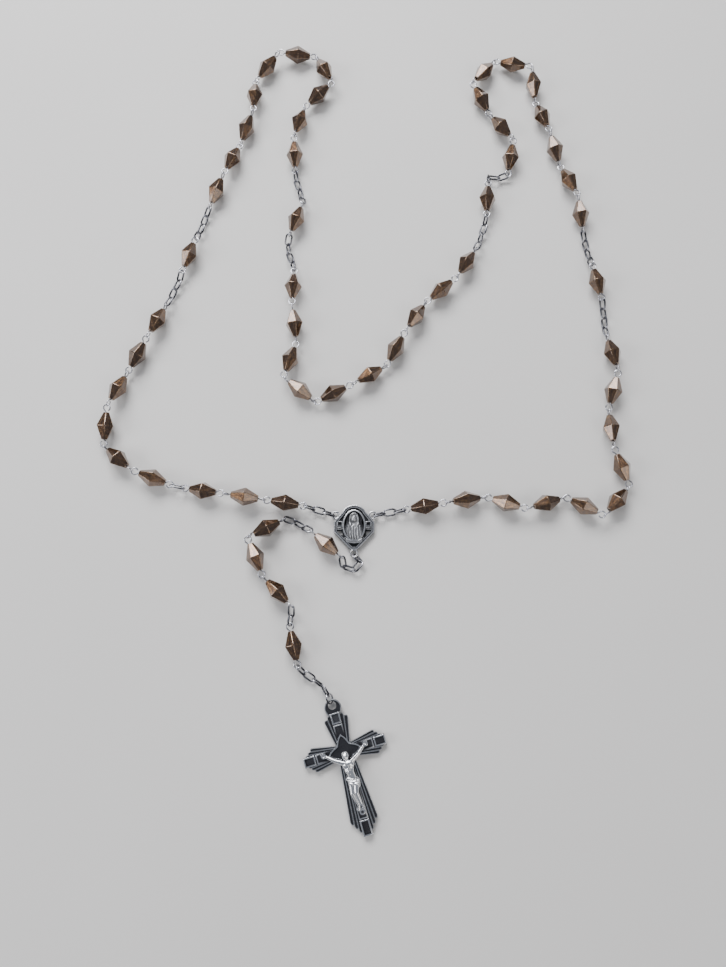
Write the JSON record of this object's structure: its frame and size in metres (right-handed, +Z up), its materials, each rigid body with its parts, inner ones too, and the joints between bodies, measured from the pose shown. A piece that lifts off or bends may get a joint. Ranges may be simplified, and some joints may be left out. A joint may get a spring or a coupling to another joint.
{
  "type": "rosary",
  "caption": "Rosary of glossy bronze-brown faceted beads on silver wire links and chain, with an arched centre medal and a pendant that ends in a dark crucifix with a polished figure",
  "frame": {"origin": "middle of the centre medal's flat back, on the surface that the rosary lies on", "axes": "+Z up from the surface, +Y towards the top of the medal and along the rosary's length, +X to the right as seen from above"},
  "size_m": [0.1702, 0.2619, 0.0062],
  "materials": {
    "medal_silver": "cast, oxidised in the recesses and worn bright on the relief",
    "silver_wire": "tarnished bright wire",
    "bronze_beads": "opaque and glossy with fine golden-brown streaks",
    "cross_dark_silver": "cast and oxidised nearly black, with bright rubbed edges",
    "figure_silver": "polished"
  },
  "bodies": {
    "centre_medal": {"centre_medal": "medal_silver"},
    "loop_chain_1": {"loop_chain_1": "silver_wire"},
    "decade_1_beads_1_2": {"decade_1_beads_1_2": "bronze_beads"},
    "decade_1_beads_3_4": {"decade_1_beads_3_4": "bronze_beads"},
    "decade_1_beads_5_6": {"decade_1_beads_5_6": "bronze_beads"},
    "decade_1_beads_7_8": {"decade_1_beads_7_8": "bronze_beads"},
    "decade_1_beads_9_10": {"decade_1_beads_9_10": "bronze_beads"},
    "loop_chain_2": {"loop_chain_2": "silver_wire"},
    "our_father_pin_1": {"our_father_pin_1": "silver_wire"},
    "our_father_bead_1": {"our_father_bead_1": "bronze_beads"},
    "loop_chain_3": {"loop_chain_3": "silver_wire"},
    "decade_2_beads_1_2": {"decade_2_beads_1_2": "bronze_beads"},
    "decade_2_beads_3_4": {"decade_2_beads_3_4": "bronze_beads"},
    "decade_2_beads_5_6": {"decade_2_beads_5_6": "bronze_beads"},
    "decade_2_beads_7_8": {"decade_2_beads_7_8": "bronze_beads"},
    "decade_2_beads_9_10": {"decade_2_beads_9_10": "bronze_beads"},
    "loop_chain_4": {"loop_chain_4": "silver_wire"},
    "our_father_pin_2": {"our_father_pin_2": "silver_wire"},
    "our_father_bead_2": {"our_father_bead_2": "bronze_beads"},
    "loop_chain_5": {"loop_chain_5": "silver_wire"},
    "decade_3_beads_1_2": {"decade_3_beads_1_2": "bronze_beads"},
    "decade_3_beads_3_4": {"decade_3_beads_3_4": "bronze_beads"},
    "decade_3_beads_5_6": {"decade_3_beads_5_6": "bronze_beads"},
    "decade_3_beads_7_8": {"decade_3_beads_7_8": "bronze_beads"},
    "decade_3_beads_9_10": {"decade_3_beads_9_10": "bronze_beads"},
    "loop_chain_6": {"loop_chain_6": "silver_wire"},
    "our_father_pin_3": {"our_father_pin_3": "silver_wire"},
    "our_father_bead_3": {"our_father_bead_3": "bronze_beads"},
    "loop_chain_7": {"loop_chain_7": "silver_wire"},
    "decade_4_beads_1_2": {"decade_4_beads_1_2": "bronze_beads"},
    "decade_4_beads_3_4": {"decade_4_beads_3_4": "bronze_beads"},
    "decade_4_beads_5_6": {"decade_4_beads_5_6": "bronze_beads"},
    "decade_4_beads_7_8": {"decade_4_beads_7_8": "bronze_beads"},
    "decade_4_beads_9_10": {"decade_4_beads_9_10": "bronze_beads"},
    "loop_chain_8": {"loop_chain_8": "silver_wire"},
    "our_father_pin_4": {"our_father_pin_4": "silver_wire"},
    "our_father_bead_4": {"our_father_bead_4": "bronze_beads"},
    "loop_chain_9": {"loop_chain_9": "silver_wire"},
    "decade_5_beads_1_2": {"decade_5_beads_1_2": "bronze_beads"},
    "decade_5_beads_3_4": {"decade_5_beads_3_4": "bronze_beads"},
    "decade_5_beads_5_6": {"decade_5_beads_5_6": "bronze_beads"},
    "repair_link": {"repair_link": "silver_wire"},
    "decade_5_beads_7_8": {"decade_5_beads_7_8": "bronze_beads"},
    "decade_5_bead_9": {"decade_5_bead_9": "bronze_beads"},
    "loop_chain_10": {"loop_chain_10": "silver_wire"},
    "pendant_chain_1": {"pendant_chain_1": "silver_wire"},
    "pendant_pin_1": {"pendant_pin_1": "silver_wire"},
    "pendant_our_father_bead_1": {"pendant_our_father_bead_1": "bronze_beads"},
    "pendant_chain_2": {"pendant_chain_2": "silver_wire"},
    "pendant_bead_1": {"pendant_bead_1": "bronze_beads"},
    "pendant_bead_2": {"pendant_bead_2": "bronze_beads"},
    "pendant_bead_3": {"pendant_bead_3": "bronze_beads"},
    "pendant_chain_3": {"pendant_chain_3": "silver_wire"},
    "pendant_pin_2": {"pendant_pin_2": "silver_wire"},
    "pendant_our_father_bead_2": {"pendant_our_father_bead_2": "bronze_beads"},
    "pendant_chain_4": {"pendant_chain_4": "silver_wire"},
    "crucifix_ring": {"crucifix_ring": "silver_wire"},
    "crucifix": {"crucifix_cross": "cross_dark_silver", "crucifix_figure": "figure_silver"}
  },
  "joints": [
    {"name": "loop_chain_1_hinge", "type": "hinge", "parent": "centre_medal", "child": "loop_chain_1", "pos_m": [0.0065, 0.00395, 0.001], "axis": [1, 0, 0], "range_deg": [-40, 40]},
    {"name": "decade_1_beads_1_2_hinge", "type": "hinge", "parent": "loop_chain_1", "child": "decade_1_beads_1_2", "pos_m": [0.01579, 0.00546, 0.00205], "axis": [-0.9966, -0.0674, -0.047], "range_deg": [-40, 40]},
    {"name": "decade_1_beads_3_4_hinge", "type": "hinge", "parent": "decade_1_beads_1_2", "child": "decade_1_beads_3_4", "pos_m": [0.04147, 0.00953, 0.00205], "axis": [-0.9931, -0.1154, -0.0217], "range_deg": [-40, 40]},
    {"name": "decade_1_beads_5_6_hinge", "type": "hinge", "parent": "decade_1_beads_3_4", "child": "decade_1_beads_5_6", "pos_m": [0.06621, 0.00951, 0.00205], "axis": [0.997, 0.0762, 0.0144], "range_deg": [-40, 40]},
    {"name": "decade_1_beads_7_8_hinge", "type": "hinge", "parent": "decade_1_beads_5_6", "child": "decade_1_beads_7_8", "pos_m": [0.08668, 0.013, 0.00205], "axis": [0.9953, 0.0966, 0.0112], "range_deg": [-40, 40]},
    {"name": "decade_1_beads_9_10_hinge", "type": "hinge", "parent": "decade_1_beads_7_8", "child": "decade_1_beads_9_10", "pos_m": [0.08169, 0.03818, 0.00205], "axis": [-0.9322, -0.3618, -0.0111], "range_deg": [-40, 40]},
    {"name": "loop_chain_2_hinge", "type": "hinge", "parent": "decade_1_beads_9_10", "child": "loop_chain_2", "pos_m": [0.0827, 0.06348, 0.00205], "axis": [-0.8318, -0.5551, -0.0098], "range_deg": [-40, 40]},
    {"name": "our_father_pin_1_hinge", "type": "hinge", "parent": "loop_chain_2", "child": "our_father_pin_1", "pos_m": [0.08177, 0.07583, 0.00295], "axis": [0.7753, 0.6313, 0.0171], "range_deg": [-40, 40]},
    {"name": "our_father_bead_1_spin", "type": "hinge", "parent": "our_father_pin_1", "child": "our_father_bead_1", "pos_m": [0.08049, 0.08213, 0.00295], "axis": [-0.1986, 0.9801, 0], "continuous": true},
    {"name": "loop_chain_3_hinge", "type": "hinge", "parent": "our_father_pin_1", "child": "loop_chain_3", "pos_m": [0.07922, 0.08842, 0.00295], "axis": [0.7122, 0.7018, 0.0162], "range_deg": [-40, 40]},
    {"name": "decade_2_beads_1_2_hinge", "type": "hinge", "parent": "loop_chain_3", "child": "decade_2_beads_1_2", "pos_m": [0.07711, 0.10064, 0.00205], "axis": [-0.6541, -0.7564, -0.0082], "range_deg": [-40, 40]},
    {"name": "decade_2_beads_3_4_hinge", "type": "hinge", "parent": "decade_2_beads_1_2", "child": "decade_2_beads_3_4", "pos_m": [0.07057, 0.12551, 0.00205], "axis": [-0.5354, -0.8445, -0.0073], "range_deg": [-40, 40]},
    {"name": "decade_2_beads_5_6_hinge", "type": "hinge", "parent": "decade_2_beads_3_4", "child": "decade_2_beads_5_6", "pos_m": [0.06312, 0.15041, 0.00205], "axis": [0.4293, 0.9031, 0.0065], "range_deg": [-40, 40]},
    {"name": "decade_2_beads_7_8_hinge", "type": "hinge", "parent": "decade_2_beads_5_6", "child": "decade_2_beads_7_8", "pos_m": [0.04958, 0.16684, 0.00205], "axis": [0.3255, 0.9455, 0.0061], "range_deg": [-40, 40]},
    {"name": "decade_2_beads_9_10_hinge", "type": "hinge", "parent": "decade_2_beads_7_8", "child": "decade_2_beads_9_10", "pos_m": [0.04701, 0.14545, 0.00205], "axis": [-0.3537, -0.9353, -0.0069], "range_deg": [-40, 40]},
    {"name": "loop_chain_4_hinge", "type": "hinge", "parent": "decade_2_beads_9_10", "child": "loop_chain_4", "pos_m": [0.05242, 0.12206, 0.00205], "axis": [-0.4464, -0.8948, -0.008], "range_deg": [-40, 40]},
    {"name": "our_father_pin_2_hinge", "type": "hinge", "parent": "loop_chain_4", "child": "our_father_pin_2", "pos_m": [0.0455, 0.11905, 0.00295], "axis": [0.4117, 0.9112, 0.0154], "range_deg": [-40, 40]},
    {"name": "our_father_bead_2_spin", "type": "hinge", "parent": "our_father_pin_2", "child": "our_father_bead_2", "pos_m": [0.04504, 0.11265, 0.00295], "axis": [-0.072, -0.9974, 0], "continuous": true},
    {"name": "loop_chain_5_hinge", "type": "hinge", "parent": "our_father_pin_2", "child": "loop_chain_5", "pos_m": [0.04458, 0.10624, 0.00295], "axis": [0.4467, 0.8945, 0.0171], "range_deg": [-40, 40]},
    {"name": "decade_3_beads_1_2_hinge", "type": "hinge", "parent": "loop_chain_5", "child": "decade_3_beads_1_2", "pos_m": [0.04076, 0.09447, 0.00205], "axis": [-0.4628, -0.8864, -0.0103], "range_deg": [-40, 40]},
    {"name": "decade_3_beads_3_4_hinge", "type": "hinge", "parent": "decade_3_beads_1_2", "child": "decade_3_beads_3_4", "pos_m": [0.02374, 0.0753, 0.00205], "axis": [-0.3901, -0.9207, -0.0135], "range_deg": [-40, 40]},
    {"name": "decade_3_beads_5_6_hinge", "type": "hinge", "parent": "decade_3_beads_3_4", "child": "decade_3_beads_5_6", "pos_m": [0.01042, 0.053, 0.00205], "axis": [0.326, 0.9452, 0.0202], "range_deg": [-40, 40]},
    {"name": "decade_3_beads_7_8_hinge", "type": "hinge", "parent": "decade_3_beads_5_6", "child": "decade_3_beads_7_8", "pos_m": [-0.01244, 0.04069, 0.00205], "axis": [-0.1596, 0.9868, 0.0282], "range_deg": [-40, 40]},
    {"name": "decade_3_beads_9_10_hinge", "type": "hinge", "parent": "decade_3_beads_7_8", "child": "decade_3_beads_9_10", "pos_m": [-0.019, 0.06107, 0.00205], "axis": [0.2137, -0.9767, -0.018], "range_deg": [-40, 40]},
    {"name": "loop_chain_6_hinge", "type": "hinge", "parent": "decade_3_beads_9_10", "child": "loop_chain_6", "pos_m": [-0.02016, 0.08697, 0.00205], "axis": [0.1623, -0.9867, -0.0125], "range_deg": [-40, 40]},
    {"name": "our_father_pin_3_hinge", "type": "hinge", "parent": "loop_chain_6", "child": "our_father_pin_3", "pos_m": [-0.02194, 0.09896, 0.00295], "axis": [-0.1604, 0.9868, 0.0203], "range_deg": [-40, 40]},
    {"name": "our_father_bead_3_spin", "type": "hinge", "parent": "our_father_pin_3", "child": "our_father_bead_3", "pos_m": [-0.01974, 0.105, 0.00295], "axis": [0.3427, 0.9394, 0], "continuous": true},
    {"name": "loop_chain_7_hinge", "type": "hinge", "parent": "our_father_pin_3", "child": "loop_chain_7", "pos_m": [-0.01754, 0.11104, 0.00295], "axis": [-0.1025, 0.9946, 0.0181], "range_deg": [-40, 40]},
    {"name": "decade_4_beads_1_2_hinge", "type": "hinge", "parent": "loop_chain_7", "child": "decade_4_beads_1_2", "pos_m": [-0.02045, 0.12305, 0.00205], "axis": [0.1163, -0.9932, -0.0088], "range_deg": [-40, 40]},
    {"name": "decade_4_beads_3_4_hinge", "type": "hinge", "parent": "decade_4_beads_1_2", "child": "decade_4_beads_3_4", "pos_m": [-0.01748, 0.14857, 0.00205], "axis": [0.0757, -0.9971, -0.0072], "range_deg": [-40, 40]},
    {"name": "decade_4_beads_5_6_hinge", "type": "hinge", "parent": "decade_4_beads_3_4", "child": "decade_4_beads_5_6", "pos_m": [-0.01394, 0.16876, 0.00205], "axis": [-0.0451, 0.999, 0.0064], "range_deg": [-40, 40]},
    {"name": "decade_4_beads_7_8_hinge", "type": "hinge", "parent": "decade_4_beads_5_6", "child": "decade_4_beads_7_8", "pos_m": [-0.03497, 0.15902, 0.00205], "axis": [-0.1806, 0.9835, 0.0067], "range_deg": [-40, 40]},
    {"name": "decade_4_beads_9_10_hinge", "type": "hinge", "parent": "decade_4_beads_7_8", "child": "decade_4_beads_9_10", "pos_m": [-0.03966, 0.13376, 0.00205], "axis": [0.2475, -0.9689, -0.0078], "range_deg": [-40, 40]},
    {"name": "loop_chain_8_hinge", "type": "hinge", "parent": "decade_4_beads_9_10", "child": "loop_chain_8", "pos_m": [-0.04948, 0.10969, 0.00205], "axis": [0.3766, -0.9263, -0.0092], "range_deg": [-40, 40]},
    {"name": "our_father_pin_4_hinge", "type": "hinge", "parent": "loop_chain_8", "child": "our_father_pin_4", "pos_m": [-0.05334, 0.09791, 0.00295], "axis": [-0.4461, 0.8948, 0.0186], "range_deg": [-40, 40]},
    {"name": "our_father_bead_4_spin", "type": "hinge", "parent": "our_father_pin_4", "child": "our_father_bead_4", "pos_m": [-0.05541, 0.09182, 0.00295], "axis": [-0.3222, -0.9467, 0], "continuous": true},
    {"name": "loop_chain_9_hinge", "type": "hinge", "parent": "our_father_pin_4", "child": "loop_chain_9", "pos_m": [-0.05748, 0.08574, 0.00295], "axis": [-0.5289, 0.8485, 0.0202], "range_deg": [-40, 40]},
    {"name": "decade_5_beads_1_2_hinge", "type": "hinge", "parent": "loop_chain_9", "child": "decade_5_beads_1_2", "pos_m": [-0.06216, 0.07426, 0.00205], "axis": [0.6206, -0.784, -0.0117], "range_deg": [-40, 40]},
    {"name": "decade_5_beads_3_4_hinge", "type": "hinge", "parent": "decade_5_beads_1_2", "child": "decade_5_beads_3_4", "pos_m": [-0.07352, 0.05088, 0.00205], "axis": [0.8191, -0.5736, -0.0128], "range_deg": [-40, 40]},
    {"name": "decade_5_beads_5_6_hinge", "type": "hinge", "parent": "decade_5_beads_3_4", "child": "decade_5_beads_5_6", "pos_m": [-0.07972, 0.0261, 0.00205], "axis": [-0.9571, 0.2895, 0.0137], "range_deg": [-40, 40]},
    {"name": "repair_link_hinge", "type": "hinge", "parent": "decade_5_beads_5_6", "child": "repair_link", "pos_m": [-0.05749, 0.01338, 0.00205], "axis": [-0.9831, 0.1818, 0.0202], "range_deg": [-40, 40]},
    {"name": "decade_5_beads_7_8_hinge", "type": "hinge", "parent": "repair_link", "child": "decade_5_beads_7_8", "pos_m": [-0.05369, 0.01247, 0.00205], "axis": [0.9839, -0.1776, -0.0219], "range_deg": [-40, 40]},
    {"name": "decade_5_bead_9_hinge", "type": "hinge", "parent": "decade_5_beads_7_8", "child": "decade_5_bead_9", "pos_m": [-0.0279, 0.00851, 0.00295], "axis": [0.9742, -0.2077, -0.0888], "range_deg": [-40, 40]},
    {"name": "loop_chain_10_hinge", "type": "hinge", "parent": "decade_5_bead_9", "child": "loop_chain_10", "pos_m": [-0.01521, 0.00647, 0.00295], "axis": [-0.9392, 0.2717, 0.2102], "range_deg": [-40, 40]},
    {"name": "pendant_chain_1_hinge", "type": "hinge", "parent": "centre_medal", "child": "pendant_chain_1", "pos_m": [0, -0.0087, 0.001], "axis": [1, 0, 0], "range_deg": [-40, 40]},
    {"name": "pendant_pin_1_hinge", "type": "hinge", "parent": "pendant_chain_1", "child": "pendant_pin_1", "pos_m": [-0.00373, -0.00967, 0.00295], "axis": [0.7337, 0.6794, 0], "range_deg": [-40, 40]},
    {"name": "pendant_our_father_bead_1_spin", "type": "hinge", "parent": "pendant_pin_1", "child": "pendant_our_father_bead_1", "pos_m": [-0.00857, -0.00544, 0.00295], "axis": [-0.7529, 0.6581, 0], "continuous": true},
    {"name": "pendant_chain_2_hinge", "type": "hinge", "parent": "pendant_pin_1", "child": "pendant_chain_2", "pos_m": [-0.01341, -0.00121, 0.00295], "axis": [0.633, 0.7742, 0], "range_deg": [-40, 40]},
    {"name": "pendant_bead_1_hinge", "type": "hinge", "parent": "pendant_chain_2", "child": "pendant_bead_1", "pos_m": [-0.02155, 0.0026, 0.00205], "axis": [0.3499, -0.9368, 0], "range_deg": [-40, 40]},
    {"name": "pendant_bead_2_hinge", "type": "hinge", "parent": "pendant_bead_1", "child": "pendant_bead_2", "pos_m": [-0.03273, -0.00347, 0.00385], "axis": [0.9416, -0.3366, 0], "range_deg": [-40, 40]},
    {"name": "pendant_bead_3_hinge", "type": "hinge", "parent": "pendant_bead_2", "child": "pendant_bead_3", "pos_m": [-0.02798, -0.01538, 0.00295], "axis": [-0.8371, -0.5471, 0], "range_deg": [-40, 40]},
    {"name": "pendant_chain_3_hinge", "type": "hinge", "parent": "pendant_bead_3", "child": "pendant_chain_3", "pos_m": [-0.01896, -0.02454, 0.00295], "axis": [-0.7999, -0.6002, 0], "range_deg": [-40, 40]},
    {"name": "pendant_pin_2_hinge", "type": "hinge", "parent": "pendant_chain_3", "child": "pendant_pin_2", "pos_m": [-0.01946, -0.02988, 0.00295], "axis": [0.9882, 0.1531, 0], "range_deg": [-40, 40]},
    {"name": "pendant_our_father_bead_2_spin", "type": "hinge", "parent": "pendant_pin_2", "child": "pendant_our_father_bead_2", "pos_m": [-0.0181, -0.03616, 0.00295], "axis": [0.2117, -0.9773, 0], "continuous": true},
    {"name": "pendant_chain_4_hinge", "type": "hinge", "parent": "pendant_pin_2", "child": "pendant_chain_4", "pos_m": [-0.01674, -0.04244, 0.00295], "axis": [0.9511, 0.3088, 0], "range_deg": [-40, 40]},
    {"name": "crucifix_ring_hinge", "type": "hinge", "parent": "pendant_chain_4", "child": "crucifix_ring", "pos_m": [-0.00766, -0.05066, 0.002], "axis": [-0.8686, -0.4955, 0], "range_deg": [-40, 40]},
    {"name": "crucifix_hinge", "type": "hinge", "parent": "crucifix_ring", "child": "crucifix", "pos_m": [-0.00673, -0.0526, 0.0012], "axis": [0.9583, 0.2857, 0], "range_deg": [-30, 40]}
  ]
}
